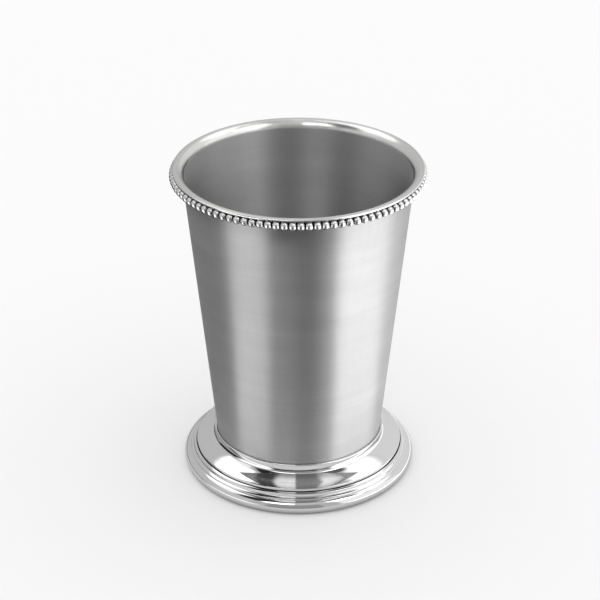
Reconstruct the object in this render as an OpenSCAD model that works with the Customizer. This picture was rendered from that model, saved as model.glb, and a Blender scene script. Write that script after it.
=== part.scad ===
// Julep cup: a drawn steel tumbler with a flared lip, a beaded hoop under the
// lip, and a hollow pressed foot with a rolled edge. The hoop and the foot are
// fixed to the tumbler by two fillets of solder.
// The origin is the centre of the ring that the foot stands on, with +Z up.

/* [Cup body] */
// Height from the table to the top of the lip
cup_h = 112; // [104:0.5:120]
// Outside diameter that the straight wall has at the height of the lip
mouth_d = 78; // [74:0.5:82]
// Outside diameter of the wall where the foot's neck ends on it
waist_d = 57.8; // [54:0.2:62]
// Thickness of the sheet that the body is drawn from
wall_t = 0.7; // [0.5:0.05:0.9]
// Outside radius of the corner between the floor and the wall
corner_r = 2.5; // [1.5:0.1:2.6]
// Depth of the body that is hidden inside the foot
sink_h = 4.8; // [4.6:0.1:6]
// How far the edge of the lip stands out from the straight wall
lip_w = 3; // [2.8:0.1:4]
// Radius of the flare under the lip
flare_r = 2.2; // [1.8:0.1:2.3]

/* [Beaded rim] */
// Diameter of one bead
bead_d = 2.8; // [2.7:0.05:3]
// Distance from bead to bead along the ring
bead_pitch = 2.61; // [2.4:0.01:2.65]
// How far the beads stand out past the edge of the lip
bead_show = 1; // [0.7:0.05:1.2]
// How far the band behind the beads is set back from their centres
band_set = 0.6; // [0.4:0.05:0.8]
// How far the band reaches below the centres of the beads
band_drop = 1.1; // [0.8:0.05:1.3]

/* [Foot] */
// Thickness of the sheet that the foot is pressed from
foot_t = 0.8; // [0.65:0.05:1]
// Height of the upright part of the neck
neck_rim_h = 2.5; // [2.1:0.05:2.8]
// Radius of the hollow curve at the bottom of the neck
cove_r = 0.8; // [0.6:0.05:1.1]
// Distance from the neck's outer face to the crease round the dome
dome_w = 6.3; // [5.5:0.05:7.5]
// Slope in degrees at the top of the dome
dome_top_angle = 30; // [27:0.5:34]
// Slope in degrees at the middle of the dome, where it is the least
dome_mid_angle = 16.5; // [12:0.5:19]
// Slope in degrees at the crease round the dome
dome_edge_angle = 25.5; // [23:0.5:29]
// How far each step below the crease goes out
step_run = 1.1; // [0.8:0.05:1.3]
// How far each step below the crease goes down
step_rise = 1.4; // [1.1:0.05:1.7]
// Slope in degrees at the inner side of each step's tread
tread_in_angle = 18; // [14:0.5:22]
// Slope in degrees at the outer edge of each step's tread
tread_out_angle = 31; // [27:0.5:35]
// Height of the last small edge, above the roll
last_rise = 0.3; // [0.2:0.05:0.4]
// Diameter of the roll round the edge
roll_d = 5.1; // [4.6:0.1:5.6]
// Depth ground off the roll to make the flat ring that the cup stands on
lap_h = 0.25; // [0.15:0.05:0.35]

/* [Joints] */
// Gap between the faces that are soldered together
joint_gap = 0.1; // [0.06:0.01:0.14]
// Length of each leg of the solder fillet under the beaded hoop
fillet_leg = 0.6; // [0.4:0.05:0.8]

/* [Hidden] */

// Number of steps between the dome and the roll
step_count = 2;
// Fineness of the turned surfaces and of the beads
turn_fn = 180;
bead_fn = 40;
// Degrees that one step of an arc turns through, and the fewest steps it has
arc_step_angle = 5;
arc_least_count = 3;
right_angle = 90;
// Directions in degrees on the roll's section: where it leaves the last edge,
// where its inside leaves the steps' underside, and where the curl ends
roll_from_angle = 83;
roll_inner_angle = 125;
curl_to_angle = -190;
// Directions on the cove's section between which the lower solder fillet lies
solder_from_angle = 195;
solder_to_angle = 220;
// How far a cutting shape reaches past what it cuts
overrun = 1;

// Radii of the foot, from the neck out
neck_in_r = waist_d / 2 + joint_gap;
neck_r = neck_in_r + foot_t;
crease_r = neck_r + dome_w;

// Heights of the foot, from the table up to the crease
roll_r = roll_d / 2;
roll_z = roll_r - lap_h;
roll_c = [crease_r + step_count * step_run - roll_r * cos(roll_from_angle), roll_z];
foot_r = roll_c.x + roll_r;
crease_h = roll_z + roll_r * sin(roll_from_angle) + last_rise + step_count * step_rise;

// A tread curves down from its inner corner to its edge, and the riser is upright
tread_r = step_run / (sin(tread_out_angle) - sin(tread_in_angle));
riser_h = step_rise - tread_r * (cos(tread_in_angle) - cos(tread_out_angle));
stair_angle = atan(step_rise / step_run);

// The dome: hollow from the neck to its middle, and crowned from there to the
// crease, with the same radius
dome_r = (dome_w - cove_r * (1 - sin(dome_top_angle)))
    / (sin(dome_top_angle) + sin(dome_edge_angle) - 2 * sin(dome_mid_angle));
crown_c = [crease_r, crease_h] - dome_r * fall(dome_edge_angle);
hollow_c = crown_c + 2 * dome_r * fall(dome_mid_angle);
cove_c = hollow_c - (dome_r - cove_r) * fall(dome_top_angle);
neck_h = cove_c.y + neck_rim_h;
// Slope at which the dome's underside meets the steps' underside
dome_under_angle = (dome_mid_angle + dome_edge_angle) / 2;

// The wall leans outwards from the foot's neck to the lip
lean = atan((mouth_d - waist_d) / 2 / (cup_h - neck_h));
floor_h = neck_h - sink_h;
corner_z = floor_h + corner_r;
corner_c = [wall_out(corner_z) - corner_r / cos(lean), corner_z];
flare_z = cup_h - wall_t - flare_r;
flare_c = [wall_out(flare_z) + flare_r / cos(lean), flare_z];
lip_r = mouth_d / 2 + lip_w;

// The beads hang just under the lip
bead_r = bead_d / 2;
rim_r = lip_r + bead_show;
ring_r = rim_r - bead_r;
band_top = cup_h - wall_t - joint_gap;
bead_z = band_top - bead_r;
band_out = ring_r - band_set;
band_bottom = bead_z - band_drop;
bead_count = round(2 * PI * ring_r / bead_pitch);
// Share of one bead's spacing that the ring of beads is turned by
bead_turn_share = 0.3;

// Outside radius of the straight wall at height z
function wall_out(z) = waist_d / 2 + (z - neck_h) * tan(lean);

// Points along a circular arc, from one direction to another
function arc(c, r, from, to) =
    let (count = max(arc_least_count, ceil(abs(to - from) / arc_step_angle)))
    [for (i = [0 : count])
        let (a = from + (to - from) * i / count)
        c + r * [cos(a), sin(a)]];

// The direction square to a surface that falls outwards with this slope
function fall(slope) = [sin(slope), cos(slope)];

// Arcs from one slope to another: a crowned surface, and a hollow one
function crowned(c, r, from, to) = arc(c, r, right_angle - from, right_angle - to);
function hollow(c, r, from, to) = arc(c, r, 3 * right_angle - from, 3 * right_angle - to);

// The inner corner of step i's tread, at the foot of its riser
function corner(i) = [crease_r + i * step_run, crease_h - i * step_rise - riser_h];

function tread(p) =
    crowned(p - tread_r * fall(tread_in_angle), tread_r, tread_in_angle, tread_out_angle);

module turned() {
    rotate_extrude($fn = turn_fn) children();
}

module cup_body() {
    edge_r = wall_t / 2;
    edge_c = [lip_r - edge_r, cup_h - edge_r];
    color("gainsboro") turned() polygon(concat(
        [[0, floor_h]],
        arc(corner_c, corner_r, -right_angle, -lean),
        arc(flare_c, flare_r, 2 * right_angle - lean, right_angle),
        arc(edge_c, edge_r, -right_angle, right_angle),
        arc(flare_c, flare_r + wall_t, right_angle, 2 * right_angle - lean),
        arc(corner_c, corner_r - wall_t, -lean, -right_angle),
        [[0, floor_h + wall_t]]
    ));
}

// The band fills the hollow under the lip, and its beads stand proud of it
module beaded_rim() {
    color("silver") {
        turned() polygon(concat(
            [[wall_out(band_bottom) + joint_gap, band_bottom]],
            arc(flare_c, flare_r - joint_gap, 2 * right_angle - lean, right_angle),
            [[band_out, band_top], [band_out, band_bottom]]
        ));
        for (i = [0 : bead_count - 1])
            rotate([0, 0, (i + bead_turn_share) * 360 / bead_count])
                translate([ring_r, 0, bead_z])
                    sphere(r = bead_r, $fn = bead_fn);
    }
}

module rim_solder() {
    low = band_bottom - fillet_leg;
    color("lightgray") turned() polygon([
        [wall_out(low) + joint_gap, low],
        [wall_out(band_bottom) + fillet_leg, band_bottom],
        [wall_out(band_bottom) + joint_gap, band_bottom]
    ]);
}

module foot() {
    treads = [for (i = [0 : step_count - 1]) each tread(corner(i))];
    under_steps = [for (i = [step_count - 1 : -1 : 0]) corner(i) - foot_t * fall(stair_angle)];
    section = concat(
        [[neck_in_r, neck_h], [neck_r, neck_h]],
        hollow(cove_c, cove_r, right_angle, dome_top_angle),
        hollow(hollow_c, dome_r, dome_top_angle, dome_mid_angle),
        crowned(crown_c, dome_r, dome_mid_angle, dome_edge_angle),
        treads,
        arc(roll_c, roll_r, roll_from_angle, curl_to_angle),
        arc(roll_c, roll_r - foot_t, curl_to_angle, roll_inner_angle),
        under_steps,
        crowned(crown_c, dome_r - foot_t, dome_under_angle, dome_mid_angle),
        hollow(hollow_c, dome_r + foot_t, dome_mid_angle, dome_top_angle),
        arc(cove_c, cove_r + foot_t, 3 * right_angle - dome_top_angle, solder_from_angle),
        [[wall_out(cove_c.y) + joint_gap, cove_c.y]]
    );
    color("silver") turned() difference() {
        polygon(section);
        translate([0, -overrun]) square([foot_r + overrun, overrun]);
    }
}

// The fillet lies in the groove between the wall and the neck's underside
module foot_solder() {
    groove = arc(cove_c, cove_r + foot_t + joint_gap, solder_from_angle, solder_to_angle);
    low = groove[len(groove) - 1].y;
    color("lightgray") turned() polygon(concat(
        groove,
        [[wall_out(low) + joint_gap, low], [wall_out(groove[0].y) + joint_gap, groove[0].y]]
    ));
}

cup_body();
beaded_rim();
rim_solder();
foot();
foot_solder();
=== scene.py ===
import math
import bpy
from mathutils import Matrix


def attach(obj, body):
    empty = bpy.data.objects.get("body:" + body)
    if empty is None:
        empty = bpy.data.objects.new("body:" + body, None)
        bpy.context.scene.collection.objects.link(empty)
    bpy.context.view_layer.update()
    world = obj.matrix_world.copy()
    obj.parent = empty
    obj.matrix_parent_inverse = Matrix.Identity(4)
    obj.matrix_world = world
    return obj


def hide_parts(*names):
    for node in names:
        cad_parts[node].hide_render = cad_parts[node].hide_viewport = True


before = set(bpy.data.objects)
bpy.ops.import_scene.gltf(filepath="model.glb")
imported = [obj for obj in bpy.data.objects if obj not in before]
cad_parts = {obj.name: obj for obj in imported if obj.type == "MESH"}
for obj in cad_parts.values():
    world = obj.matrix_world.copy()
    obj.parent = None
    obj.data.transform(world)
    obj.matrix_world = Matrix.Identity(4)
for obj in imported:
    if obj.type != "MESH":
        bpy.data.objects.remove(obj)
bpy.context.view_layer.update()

MM = 0.001


def sin(degrees):
    return math.sin(math.radians(degrees))


def cos(degrees):
    return math.cos(math.radians(degrees))


def fall(c, r, slope):
    """The point at distance r from c, square to a surface that falls outwards with this slope."""
    return c[0] + r * sin(slope), c[1] + r * cos(slope)


# Driving sizes of the cup, in mm and degrees, as in the part's source
CUP_H, MOUTH_D, WAIST_D = 112.0, 78.0, 57.8
WALL_T, CORNER_R, SINK_H = 0.7, 2.5, 4.8
LIP_W, FLARE_R = 3.0, 2.2
BEAD_D, BEAD_PITCH, BEAD_SHOW, BEAD_TURN_SHARE = 2.8, 2.61, 1.0, 0.3
FOOT_T, NECK_RIM_H, COVE_R, DOME_W = 0.8, 2.5, 0.8, 6.3
TOP_SLOPE, MID_SLOPE, EDGE_SLOPE = 30.0, 16.5, 25.5
STEP_COUNT, STEP_RUN, STEP_RISE = 2, 1.1, 1.4
TREAD_IN, TREAD_OUT, LAST_RISE = 18.0, 31.0, 0.3
ROLL_D, LAP_H, JOINT_GAP = 5.1, 0.25, 0.1
ROLL_FROM, ROLL_INNER, CURL_TO, SOLDER_FROM = 83.0, 125.0, -190.0, 195.0

# Details that only this script has: radii that soften the edges of the steps and of
# the neck, and the groove at the crease
CREST_SOFT_R, CORNER_SOFT_R, NECK_SOFT_R = 0.3, 0.4, 0.35
GROOVE_W, GROOVE_DEEP, GROOVE_FLAT_SHARE = 0.22, 0.25, 0.7

# The foot, as worked out in the part's source
NECK_IN = WAIST_D / 2 + JOINT_GAP
NECK_R = NECK_IN + FOOT_T
ROLL_R = ROLL_D / 2
ROLL_Z = ROLL_R - LAP_H
CREASE = (NECK_R + DOME_W, ROLL_Z + ROLL_R * sin(ROLL_FROM) + LAST_RISE + STEP_COUNT * STEP_RISE)
ROLL_C = (CREASE[0] + STEP_COUNT * STEP_RUN - ROLL_R * cos(ROLL_FROM), ROLL_Z)
TREAD_R = STEP_RUN / (sin(TREAD_OUT) - sin(TREAD_IN))
RISER_H = STEP_RISE - TREAD_R * (cos(TREAD_IN) - cos(TREAD_OUT))
STAIR_ANGLE = math.degrees(math.atan(STEP_RISE / STEP_RUN))
DOME_R = ((DOME_W - COVE_R * (1 - sin(TOP_SLOPE)))
          / (sin(TOP_SLOPE) + sin(EDGE_SLOPE) - 2 * sin(MID_SLOPE)))
CROWN_C = fall(CREASE, -DOME_R, EDGE_SLOPE)
HOLLOW_C = fall(CROWN_C, 2 * DOME_R, MID_SLOPE)
COVE_C = fall(HOLLOW_C, COVE_R - DOME_R, TOP_SLOPE)
NECK_H = COVE_C[1] + NECK_RIM_H

# The body and the ring of beads, as worked out in the part's source
LEAN = math.degrees(math.atan((MOUTH_D - WAIST_D) / 2 / (CUP_H - NECK_H)))


def wall_out(z):
    """Outside radius of the straight wall at height z."""
    return WAIST_D / 2 + (z - NECK_H) * math.tan(math.radians(LEAN))


FLOOR_H = NECK_H - SINK_H
CORNER_Z = FLOOR_H + CORNER_R
CORNER_C = (wall_out(CORNER_Z) - CORNER_R / cos(LEAN), CORNER_Z)
FLARE_Z = CUP_H - WALL_T - FLARE_R
FLARE_C = (wall_out(FLARE_Z) + FLARE_R / cos(LEAN), FLARE_Z)
LIP_R = MOUTH_D / 2 + LIP_W
RING_R = LIP_R + BEAD_SHOW - BEAD_D / 2
BEAD_Z = CUP_H - WALL_T - JOINT_GAP - BEAD_D / 2
BEAD_COUNT = round(2 * math.pi * RING_R / BEAD_PITCH)


# Outlines, as points of (radius, height) in mm. The steps are degrees between points on an arc
FINE_STEP, ROUND_STEP, COVE_STEP, EDGE_STEP, CORNER_STEP, CREST_STEP = 0.5, 2.0, 3.0, 6.0, 8.0, 10.0


def arc(c, r, start, end, step=ROUND_STEP):
    """Points along an arc from one direction to another, at most step degrees apart."""
    count = max(2, math.ceil(abs(end - start) / step))
    angles = [start + (end - start) * i / count for i in range(count + 1)]
    return [(c[0] + r * cos(a), c[1] + r * sin(a)) for a in angles]


def direction(c, p):
    """The direction from c to p, in degrees."""
    return math.degrees(math.atan2(p[1] - c[1], p[0] - c[0]))


def on_circle(c, r, x):
    """The upper point of a circle that has this x."""
    return x, c[1] + math.sqrt(r ** 2 - (x - c[0]) ** 2)


def body_outline():
    half = WALL_T / 2
    return ([(0, FLOOR_H)]
            + arc(CORNER_C, CORNER_R, -90, -LEAN)
            + arc(FLARE_C, FLARE_R, 180 - LEAN, 90)
            + arc((LIP_R - half, CUP_H - half), half, -90, 90, EDGE_STEP)
            + arc(FLARE_C, FLARE_R + WALL_T, 90, 180 - LEAN)
            + arc(CORNER_C, CORNER_R - WALL_T, -LEAN, -90)
            + [(0, FLOOR_H + WALL_T)])


def crowned_edge(c, r, slope, edge_r):
    """An arc about c that starts at this slope and turns down into an upright riser at edge_r."""
    crest_c = on_circle(c, r - CREST_SOFT_R, edge_r - CREST_SOFT_R)
    end = direction(c, crest_c)
    return arc(c, r, 90 - slope, end, FINE_STEP) + arc(crest_c, CREST_SOFT_R, end, 0, CREST_STEP)


def step_corner(i):
    """The inner corner of step i's tread, at the foot of its riser."""
    return CREASE[0] + i * STEP_RUN, CREASE[1] - i * STEP_RISE - RISER_H


def step_outline(i):
    """The inner corner of step i, and its tread. The first corner is a groove."""
    x, z = step_corner(i)
    c = fall((x, z), -TREAD_R, TREAD_IN)
    if i == 0:
        inner = [(x, z - GROOVE_DEEP), (x + GROOVE_W * GROOVE_FLAT_SHARE, z - GROOVE_DEEP)]
        clear = x + GROOVE_W
    else:
        soft_c = on_circle(c, TREAD_R + CORNER_SOFT_R, x + CORNER_SOFT_R)
        inner = arc(soft_c, CORNER_SOFT_R, 180, direction(soft_c, c) + 360, CORNER_STEP)
        clear = inner[-1][0]
    tread = crowned_edge(c, TREAD_R, TREAD_IN, x + STEP_RUN)
    return inner + [p for p in tread if p[0] > clear]


def foot_outline():
    steps = range(STEP_COUNT)
    neck_c = (NECK_R - NECK_SOFT_R, NECK_H - NECK_SOFT_R)
    outside = ([(NECK_IN, NECK_H)]
               + arc(neck_c, NECK_SOFT_R, 90, 0, EDGE_STEP)
               + arc(COVE_C, COVE_R, 180, 270 - TOP_SLOPE, COVE_STEP)
               + arc(HOLLOW_C, DOME_R, 270 - TOP_SLOPE, 270 - MID_SLOPE, FINE_STEP)
               + crowned_edge(CROWN_C, DOME_R, MID_SLOPE, CREASE[0])
               + [p for i in steps for p in step_outline(i)]
               + arc(ROLL_C, ROLL_R, ROLL_FROM, CURL_TO))
    inside = (arc(ROLL_C, ROLL_R - FOOT_T, CURL_TO, ROLL_INNER)
              + [fall(step_corner(i), -FOOT_T, STAIR_ANGLE) for i in reversed(steps)]
              + arc(CROWN_C, DOME_R - FOOT_T, 90 - (EDGE_SLOPE + MID_SLOPE) / 2, 90 - MID_SLOPE)
              + arc(HOLLOW_C, DOME_R + FOOT_T, 270 - MID_SLOPE, 270 - TOP_SLOPE)
              + arc(COVE_C, COVE_R + FOOT_T, 270 - TOP_SLOPE, SOLDER_FROM)
              + [(wall_out(COVE_C[1]) + JOINT_GAP, COVE_C[1])])
    return [(r, max(z, 0.0)) for r, z in outside + inside]


# Turned meshes
LATHE_COUNT = 384
SHARP_ANGLE = 22.0
SAME_POINT = 1e-4


def add_object(name, verts, faces):
    mesh = bpy.data.meshes.new(name)
    mesh.from_pydata(verts, [], faces)
    mesh.update()
    obj = bpy.data.objects.new(name, mesh)
    bpy.context.scene.collection.objects.link(obj)
    return obj


def bend(before, at, after):
    """How far an outline turns at a point, in degrees."""
    return abs((direction(before, at) - direction(at, after) + 180) % 360 - 180)


def lathe(name, outline):
    """A closed outline turned about the axis, with its sharp corners marked as sharp edges."""
    pts = [p for i, p in enumerate(outline) if math.dist(p, outline[i - 1]) > SAME_POINT]
    verts, rings = [], []
    for r, z in pts:
        # A point on the axis stands for its whole ring
        count = 1 if r < SAME_POINT else LATHE_COUNT
        rings.append([len(verts) + k % count for k in range(LATHE_COUNT)])
        for k in range(count):
            turn = 360 * k / LATHE_COUNT
            verts.append((r * MM * cos(turn), r * MM * sin(turn), z * MM))

    faces, sharp = [], set()
    for i, ring in enumerate(rings):
        after = (i + 1) % len(pts)
        corner = bend(pts[i - 1], pts[i], pts[after]) > SHARP_ANGLE
        for k in range(LATHE_COUNT):
            m = (k + 1) % LATHE_COUNT
            face = [ring[k], ring[m], rings[after][m], rings[after][k]]
            # On the axis a face is a triangle, or nothing
            face = [v for j, v in enumerate(face) if v != face[j - 1]]
            if len(face) > 2:
                faces.append(face)
            if corner:
                sharp.add(frozenset((ring[k], ring[m])))

    obj = add_object(name, verts, faces)
    for edge in obj.data.edges:
        edge.use_edge_sharp = frozenset(edge.vertices) in sharp
    for face in obj.data.polygons:
        face.use_smooth = True
    return obj


# Node helpers
def feed(nt, value, socket):
    """Puts a number, a colour or another node's output into a socket. A number can be a grey."""
    if isinstance(value, bpy.types.NodeSocket):
        nt.links.new(value, socket)
    elif socket.type == "RGBA":
        colour = value if isinstance(value, tuple) else (value, value, value)
        socket.default_value = (*colour, 1)
    else:
        socket.default_value = value


def math_node(nt, operation, a, b=0.0):
    node = nt.nodes.new("ShaderNodeMath")
    node.operation = operation
    feed(nt, a, node.inputs[0])
    feed(nt, b, node.inputs[1])
    return node.outputs[0]


def smooth(nt, value, low, high, below=0.0, above=1.0):
    """One value below low, another above high, and a smooth change between."""
    node = nt.nodes.new("ShaderNodeMapRange")
    node.interpolation_type = "SMOOTHSTEP"
    names = ("Value", "From Min", "From Max", "To Min", "To Max")
    for name, v in zip(names, (value, low, high, below, above)):
        feed(nt, v, node.inputs[name])
    return node.outputs[0]


def mix_colour(nt, share, a, b):
    """Colour a, with this share of colour b."""
    node = nt.nodes.new("ShaderNodeMix")
    node.data_type = "RGBA"
    for socket, v in ((0, share), (6, a), (7, b)):
        feed(nt, v, node.inputs[socket])
    return node.outputs[2]


def varied(nt, middle, *parts):
    """The middle value, plus each noise's distance from a half times its amount."""
    total = middle
    for value, amount in parts:
        part = math_node(nt, "MULTIPLY", math_node(nt, "SUBTRACT", value, 0.5), amount)
        total = math_node(nt, "ADD", part, total)
    return total


def object_place(nt):
    return nt.nodes.new("ShaderNodeTexCoord").outputs["Object"]


def split(nt, place):
    node = nt.nodes.new("ShaderNodeSeparateXYZ")
    nt.links.new(place, node.inputs[0])
    return node.outputs


def height(nt, place):
    """Height above the table, in mm."""
    return math_node(nt, "MULTIPLY", split(nt, place)["Z"], 1 / MM)


def radius(nt, place):
    """Distance from the axis, in mm."""
    x, y, _ = split(nt, place)
    square = math_node(nt, "ADD", math_node(nt, "MULTIPLY", x, x), math_node(nt, "MULTIPLY", y, y))
    return math_node(nt, "MULTIPLY", math_node(nt, "SQRT", square), 1 / MM)


def turns(nt, place):
    """Angle about the axis, as a share of a full turn."""
    x, y, _ = split(nt, place)
    return math_node(nt, "MULTIPLY", math_node(nt, "ARCTAN2", y, x), 0.5 / math.pi)


def noise(nt, place, level, upright, detail=3.0):
    """Noise with one scale in the two level directions and one up the axis. A far greater
    scale up the axis gives fine lines round the cup."""
    stretch = nt.nodes.new("ShaderNodeMapping")
    stretch.inputs["Scale"].default_value = (level, level, upright)
    nt.links.new(place, stretch.inputs["Vector"])
    node = nt.nodes.new("ShaderNodeTexNoise")
    node.inputs["Scale"].default_value = 1.0
    node.inputs["Detail"].default_value = detail
    nt.links.new(stretch.outputs[0], node.inputs["Vector"])
    return node.outputs["Fac"]


def level_share(nt):
    """Nearly 1 for a ray that runs level, and 0 for one that runs along the cup's axis."""
    weight = nt.nodes.new("ShaderNodeLayerWeight")
    weight.inputs["Blend"].default_value = 0.5
    axis = nt.nodes.new("ShaderNodeCombineXYZ")
    axis.inputs["Z"].default_value = 1.0
    nt.links.new(axis.outputs[0], weight.inputs["Normal"])
    return weight.outputs["Facing"]


def empty_material(name):
    """A material, its node tree, and its output node."""
    mat = bpy.data.materials.new(name)
    mat.use_nodes = True
    mat.node_tree.nodes.clear()
    return mat, mat.node_tree, mat.node_tree.nodes.new("ShaderNodeOutputMaterial")


def metal(name):
    """A material, its node tree, and the inputs of its metal shader."""
    mat, nt, out = empty_material(name)
    shader = nt.nodes.new("ShaderNodeBsdfPrincipled")
    shader.inputs["Metallic"].default_value = 1.0
    nt.links.new(shader.outputs[0], out.inputs[0])
    return mat, nt, shader.inputs


def bump(nt, surface, relief, strength, depth_mm):
    node = nt.nodes.new("ShaderNodeBump")
    node.inputs["Strength"].default_value = strength
    node.inputs["Distance"].default_value = depth_mm * MM
    nt.links.new(relief, node.inputs["Height"])
    nt.links.new(node.outputs[0], surface["Normal"])


def brush_round(nt, surface):
    """Lines round the axis, which spread the highlights up and down the wall."""
    surface["Anisotropic"].default_value = 1.0
    surface["Anisotropic Rotation"].default_value = 0.25
    tangent = nt.nodes.new("ShaderNodeTangent")
    tangent.direction_type = "RADIAL"
    tangent.axis = "Z"
    nt.links.new(tangent.outputs[0], surface["Tangent"])


# Metals. Where one value gives way to another, the change runs between two places in mm
def brushed_steel():
    """Satin wall with fine lines round it, and a polished lip."""
    lip_low, lip_high = CUP_H - 3.0, CUP_H - 1.8
    wall_dark, wall_light, lip_colour = (0.44, 0.436, 0.436), (0.72, 0.714, 0.714), (0.72, 0.715, 0.71)
    wall_edge, lip_edge = 0.34, 0.6
    wall_glossy, wall_dull, lip_dull = 0.16, 0.58, 0.21
    mat, nt, surface = metal("satin")
    place = object_place(nt)
    z = height(nt, place)
    lines = noise(nt, place, 12.0, 2200.0, 4.0)
    patches = noise(nt, place, 30.0, 160.0)
    streaks = noise(nt, place, 800.0, 22.0)
    lip = smooth(nt, z, lip_low, lip_high)

    tone = varied(nt, 0.5, (lines, 0.30), (streaks, 0.14), (patches, 0.40))
    wall = mix_colour(nt, tone, wall_dark, wall_light)
    feed(nt, mix_colour(nt, lip, wall, lip_colour), surface["Base Color"])
    feed(nt, mix_colour(nt, lip, wall_edge, lip_edge), surface["Specular Tint"])

    # A ray that runs steeply along the wall meets it almost edge on, where it is glossier
    dull = smooth(nt, level_share(nt), 0.36, 0.50, wall_glossy, wall_dull)
    wall_rough = varied(nt, dull, (lines, 0.10))
    lip_rough = varied(nt, lip_dull, (patches, 0.10))
    feed(nt, smooth(nt, z, lip_low, lip_high, wall_rough, lip_rough), surface["Roughness"])
    brush_round(nt, surface)
    bump(nt, surface, lines, 0.10, 0.01)
    return mat


def groove_shade_share(nt, z, r):
    """Where painted shade goes: 1 in the groove at the crease round the dome, and 0 away from it."""
    corner_r, corner_z = step_corner(0)
    off_line = math_node(nt, "ABSOLUTE", math_node(nt, "SUBTRACT", r, corner_r + GROOVE_W / 2))
    near_line = smooth(nt, off_line, GROOVE_W * 0.6, GROOVE_W, 1.0, 0.0)
    below_top = smooth(nt, z, corner_z, corner_z + 0.5, 1.0, 0.0)
    above_bottom = smooth(nt, z, corner_z - 0.7, corner_z - 0.4)
    return math_node(nt, "MULTIPLY", near_line, math_node(nt, "MULTIPLY", below_top, above_bottom))


def mirror_steel():
    """Polished foot. Painted shade darkens the groove at the crease, and painted shade darkens the
    roll close to the table, most at its very bottom edge, where the contact shadow falls.
    """
    steel_dark, steel_light, table_shade_colour, groove_shade_colour = 0.64, 0.68, 0.12, 0.06
    mat, nt, surface = metal("mirror")
    place = object_place(nt)
    z = height(nt, place)
    haze = noise(nt, place, 90.0, 90.0, 4.0)
    # Painted shade on the roll close to the table, where its contact shadow falls: low darkens the
    # lower roll a little, edge darkens its very bottom
    low = smooth(nt, z, 0.6, 3.2, 0.45, 0.0)
    edge = smooth(nt, z, 0.15, 0.75, 0.85, 0.0)

    clean = mix_colour(nt, haze, steel_dark, steel_light)
    shaded_near_table = mix_colour(nt, math_node(nt, "MAXIMUM", low, edge), clean, table_shade_colour)
    # Painted shade in the groove at the crease
    groove = groove_shade_share(nt, z, radius(nt, place))
    feed(nt, mix_colour(nt, groove, shaded_near_table, groove_shade_colour), surface["Base Color"])
    # The painted shade at the roll's bottom edge also dims its specular tint
    feed(nt, mix_colour(nt, edge, 0.85, 0.15), surface["Specular Tint"])
    feed(nt, smooth(nt, haze, 0.35, 0.75, 0.02, 0.05), surface["Roughness"])
    bump(nt, surface, noise(nt, place, 60.0, 60.0, 1.0), 0.20, 0.10)
    return mat


def bead_steel():
    """Polished beads, with painted shade in the gaps between them, on the band behind them and on
    their lower halves.
    """
    bead_dark, bead_light, underside_shade_colour, gap_shade_colour = 0.56, 0.74, 0.34, 0.07
    mat, nt, surface = metal("beads")
    place = object_place(nt)
    # Shares of a bead's pitch, counted so that a bead's centre is at a half
    count = math_node(nt, "MULTIPLY", turns(nt, place), BEAD_COUNT)
    share = math_node(nt, "FRACT", math_node(nt, "SUBTRACT", count, BEAD_TURN_SHARE - 0.5))
    off_centre = math_node(nt, "ABSOLUTE", math_node(nt, "SUBTRACT", share, 0.5))
    # Painted shade in the gaps between the beads and on the band behind them
    gap_shade = smooth(nt, off_centre, 0.34, 0.46)
    band_shade = smooth(nt, radius(nt, place), RING_R - BEAD_D / 2, RING_R - 0.2, 0.9, 0.0)
    # Painted shade on the lower half of each bead
    underside_shade = smooth(nt, height(nt, place), BEAD_Z - 1.1, BEAD_Z + 0.2, 1.0, 0.0)
    spots = noise(nt, place, 700.0, 700.0)

    clean = mix_colour(nt, spots, bead_dark, bead_light)
    shaded = mix_colour(nt, underside_shade, clean, underside_shade_colour)
    colour = mix_colour(nt, math_node(nt, "MAXIMUM", gap_shade, band_shade), shaded, gap_shade_colour)
    feed(nt, colour, surface["Base Color"])
    # The specular tint carries the painted shade too
    feed(nt, mix_colour(nt, 0.5, colour, 0.12), surface["Specular Tint"])
    feed(nt, smooth(nt, spots, 0.3, 0.7, 0.24, 0.38), surface["Roughness"])
    bump(nt, surface, spots, 0.15, 0.03)
    return mat


def silver_solder():
    """Lumpy solder, slightly yellower than the steel."""
    mat, nt, surface = metal("solder")
    lumps = noise(nt, object_place(nt), 500.0, 500.0, 4.0)
    feed(nt, mix_colour(nt, lumps, (0.38, 0.38, 0.36), (0.62, 0.62, 0.60)), surface["Base Color"])
    feed(nt, smooth(nt, lumps, 0.3, 0.7, 0.22, 0.42), surface["Roughness"])
    bump(nt, surface, lumps, 0.35, 0.10)
    return mat


# The body and the foot are turned again more finely, and stand for the CAD's nodes
body = lathe("cup_body_fine", body_outline())
body.data.materials.append(brushed_steel())
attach(body, "root")
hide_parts("cup_body")

foot = lathe("foot_fine", foot_outline())
foot.data.materials.append(mirror_steel())
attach(foot, "root")
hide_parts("foot")

# The other nodes keep their CAD shapes
beads, solder = bead_steel(), silver_solder()
for node, mat in (("beaded_rim", beads), ("rim_solder", solder), ("foot_solder", solder)):
    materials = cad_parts[node].data.materials
    materials.clear()
    materials.append(mat)


# Camera, from the fit of the photograph
CAMERA_AT = (0.5 * MM, -595.7 * MM, 376.6 * MM)
CAMERA_DOWN = 27.86
FOCAL_PX, PHOTO_PX = 1961.0, 600.0
SENSOR_MM = 36.0


def add_camera():
    data = bpy.data.cameras.new("camera")
    data.sensor_width = SENSOR_MM
    data.lens = FOCAL_PX / PHOTO_PX * SENSOR_MM
    data.clip_start, data.clip_end = 0.01, 20.0
    camera = bpy.data.objects.new("camera", data)
    bpy.context.scene.collection.objects.link(camera)
    camera.location = CAMERA_AT
    camera.rotation_euler = (math.radians(90 - CAMERA_DOWN), 0, 0)
    bpy.context.scene.camera = camera


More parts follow.
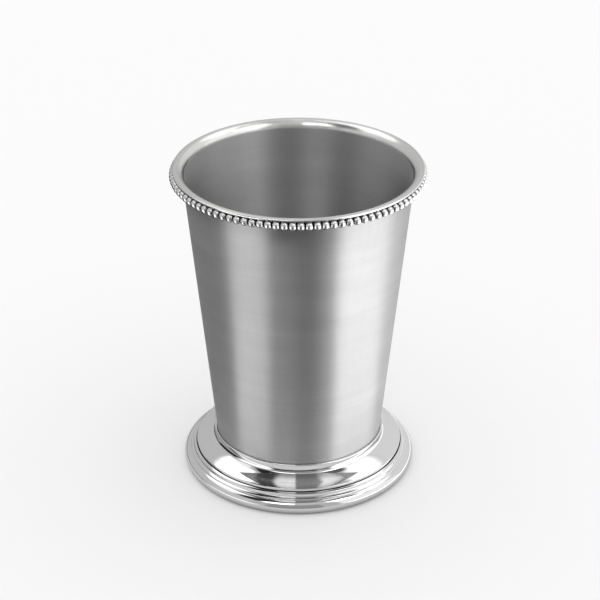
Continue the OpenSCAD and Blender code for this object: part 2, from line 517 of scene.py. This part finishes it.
# Stage: a white floor and world, and sheets of light that only the metal sees
FLOOR_HALF = 4.0
FLOOR_COLOUR = 0.97
FLOOR_GLOW_SHARE = 0.12
WORLD_STRENGTH = 1.0


def seen_or_reflected(nt):
    """1 for camera, glossy and transmission rays, and 0 for the rays that light the object."""
    path = nt.nodes.new("ShaderNodeLightPath")
    seen = math_node(nt, "MAXIMUM", path.outputs["Is Camera Ray"], path.outputs["Is Glossy Ray"])
    return math_node(nt, "MAXIMUM", seen, path.outputs["Is Transmission Ray"])


def mix_shaders(nt, share, a, b, out):
    """Links shader a, with this share of shader b, to the material's output."""
    mix = nt.nodes.new("ShaderNodeMixShader")
    for i, socket in enumerate((share, a.outputs[0], b.outputs[0])):
        nt.links.new(socket, mix.inputs[i])
    nt.links.new(mix.outputs[0], out.inputs[0])


def white_floor():
    """Matt white, which keeps the shadow, with a little glow where it is seen or reflected."""
    mat, nt, out = empty_material("floor")
    matt = nt.nodes.new("ShaderNodeBsdfDiffuse")
    feed(nt, FLOOR_COLOUR, matt.inputs["Color"])
    glow = nt.nodes.new("ShaderNodeEmission")
    share = math_node(nt, "MULTIPLY", seen_or_reflected(nt), FLOOR_GLOW_SHARE)
    mix_shaders(nt, share, matt, glow, out)
    return mat


def add_floor():
    s = FLOOR_HALF
    obj = add_object("floor", [(-s, -s, 0), (s, -s, 0), (s, s, 0), (-s, s, 0)], [(0, 1, 2, 3)])
    obj.data.materials.append(white_floor())


def add_world():
    world = bpy.data.worlds.new("world")
    bpy.context.scene.world = world
    world.use_nodes = True
    nt = world.node_tree
    nt.nodes.clear()
    background = nt.nodes.new("ShaderNodeBackground")
    feed(nt, 1.0, background.inputs["Color"])
    background.inputs["Strength"].default_value = WORLD_STRENGTH
    nt.links.new(background.outputs[0], nt.nodes.new("ShaderNodeOutputWorld").inputs[0])


def sheet_light(name, value):
    """Plain light that fades out where the sheet's attribute "inside" falls to 0."""
    mat, nt, out = empty_material(name)
    clear = nt.nodes.new("ShaderNodeBsdfTransparent")
    glow = nt.nodes.new("ShaderNodeEmission")
    glow.inputs["Strength"].default_value = value
    inside = nt.nodes.new("ShaderNodeAttribute")
    inside.attribute_name = "inside"
    mix_shaders(nt, inside.outputs["Fac"], clear, glow, out)
    return mat


def ease(share, fade):
    """0 at both ends of a span, rising smoothly to 1 over the share of it called fade."""
    t = min(1.0, min(share, 1 - share) / fade)
    return t * t * (3 - 2 * t)


def sheet(name, place, cols, rows, value, fade):
    """A grid of points place(u, v), with light that fades over a share of it at each edge."""
    spots = [(i / cols, j / rows) for j in range(rows + 1) for i in range(cols + 1)]
    corners = [j * (cols + 1) + i for j in range(rows) for i in range(cols)]
    faces = [(a, a + 1, a + cols + 2, a + cols + 1) for a in corners]
    obj = add_object(name, [place(u, v) for u, v in spots], faces)
    inside = [ease(u, fade[0]) * ease(v, fade[1]) for u, v in spots]
    obj.data.attributes.new("inside", "FLOAT", "POINT").data.foreach_set("value", inside)
    obj.data.materials.append(sheet_light(name, value))
    obj.visible_camera = False
    obj.visible_diffuse = False
    obj.visible_shadow = False


# Sizes of the sheets in metres, and the degrees over which their edges fade
CARD_COLS, CARD_ROWS, CARD_CENTRE_Z = 48, 24, 0.03
CARD_FAR, CARD_APART = 1.5, 0.01
MAT_COLS, MAT_ROWS, MAT_Z = 36, 24, 0.0006
MAT_NEAR, MAT_FAR = 0.062, 1.15
FADE = 6.0
NO_FADE = 1e-4
SURROUND_FAR, SURROUND_VALUE = 1.6, 0.62


def between(ends, share):
    return ends[0] + (ends[1] - ends[0]) * share


def card(name, azimuths, low, high, value, far, fade=FADE):
    """A curved card round the cup. Azimuth 0 is towards the camera, and plus is to the right.
    Its lower and upper edges each run from one elevation to another."""
    def place(u, v):
        az = between(azimuths, u)
        el = between((between(low, u), between(high, u)), v)
        return (far * sin(az) * cos(el), -far * cos(az) * cos(el), far * sin(el) + CARD_CENTRE_Z)
    wide = azimuths[1] - azimuths[0]
    tall = max(high[0] - low[0], high[1] - low[1])
    fades = (max(fade / wide, NO_FADE), max(fade / tall, NO_FADE))
    sheet(name, place, CARD_COLS, CARD_ROWS, value, fades)


def floor_mat(name, azimuths, near, far, value):
    """A sheet that lies on the floor round the cup."""
    def place(u, v):
        az = between(azimuths, u)
        d = near * (far / near) ** v
        return d * sin(az), -d * cos(az), MAT_Z
    sheet(name, place, MAT_COLS, MAT_ROWS, value, (FADE / (azimuths[1] - azimuths[0]), NO_FADE))


# Cards, each in front of the one before: name, azimuths, elevations of the lower and the upper
# edge, and strength, where 1 is white
WALL_LOW, WALL_HIGH = (-4, -4), (46, 46)
CARDS = (
    ("left_low", (-174, -116), (40, 40), (74, 66), 2.1),
    ("left_side", (-124, -78), (40, 40), (66, 58), 1.25),
    ("left_top_dark", (-130, -82), (70, 54), (87, 87), 0.03),
    ("left_dark", (-88, -47), (47, 47), (87, 87), 0.03),
    ("left_wall_back", (-182, -142), WALL_LOW, WALL_HIGH, 0.7),
    ("left_wall_side", (-149, -89), WALL_LOW, WALL_HIGH, 0.7),
    ("left_wall", (-96, -44), WALL_LOW, WALL_HIGH, 0.75),
    ("window_left", (-49, -3), (48, 48), (71, 71), 3.6),
    ("front_low", (-33, 25), WALL_LOW, (34, 34), 0.38),
    ("front_mid", (-32, 24), (27, 27), (52, 52), 0.42),
    ("front_grey", (-7, 46), (48, 48), (79, 79), 0.74),
    ("window_right", (40, 89), (45, 45), (71, 71), 3.5),
    ("right_low", (89, 170), (40, 40), (66, 66), 1.7),
    ("right_streak", (83, 123), (59, 59), (83, 83), 0.15),
    ("right_wall", (37, 113), WALL_LOW, WALL_HIGH, 1.25),
    ("right_wall_back", (107, 170), WALL_LOW, WALL_HIGH, 0.95),
)

# Floor mats: name, azimuths, near and far edge, and strength
MATS = (
    ("mat_front_near", (-33, 26), MAT_NEAR, 0.112, 0.32),
    ("mat_front", (-33, 26), 0.110, MAT_FAR, 0.005),
    ("mat_right_front", (21, 40), MAT_NEAR, MAT_FAR, 0.5),
    ("mat_left", (-75, -29), MAT_NEAR, MAT_FAR, 2.45),
    ("mat_left_back", (-183, -70), MAT_NEAR, MAT_FAR, 0.005),
    ("mat_right", (36, 104), MAT_NEAR, MAT_FAR, 3.8),
    ("mat_right_back", (98, 182), MAT_NEAR, MAT_FAR, 2.3),
)

add_camera()
add_floor()
add_world()
card("surround", (-180, 180), (0, 0), (90, 90), SURROUND_VALUE, SURROUND_FAR, fade=0.0)
for i, spec in enumerate(CARDS):
    card(*spec, CARD_FAR - CARD_APART * i)
for spec in MATS:
    floor_mat(*spec)

bpy.context.scene.view_settings.view_transform = "Standard"
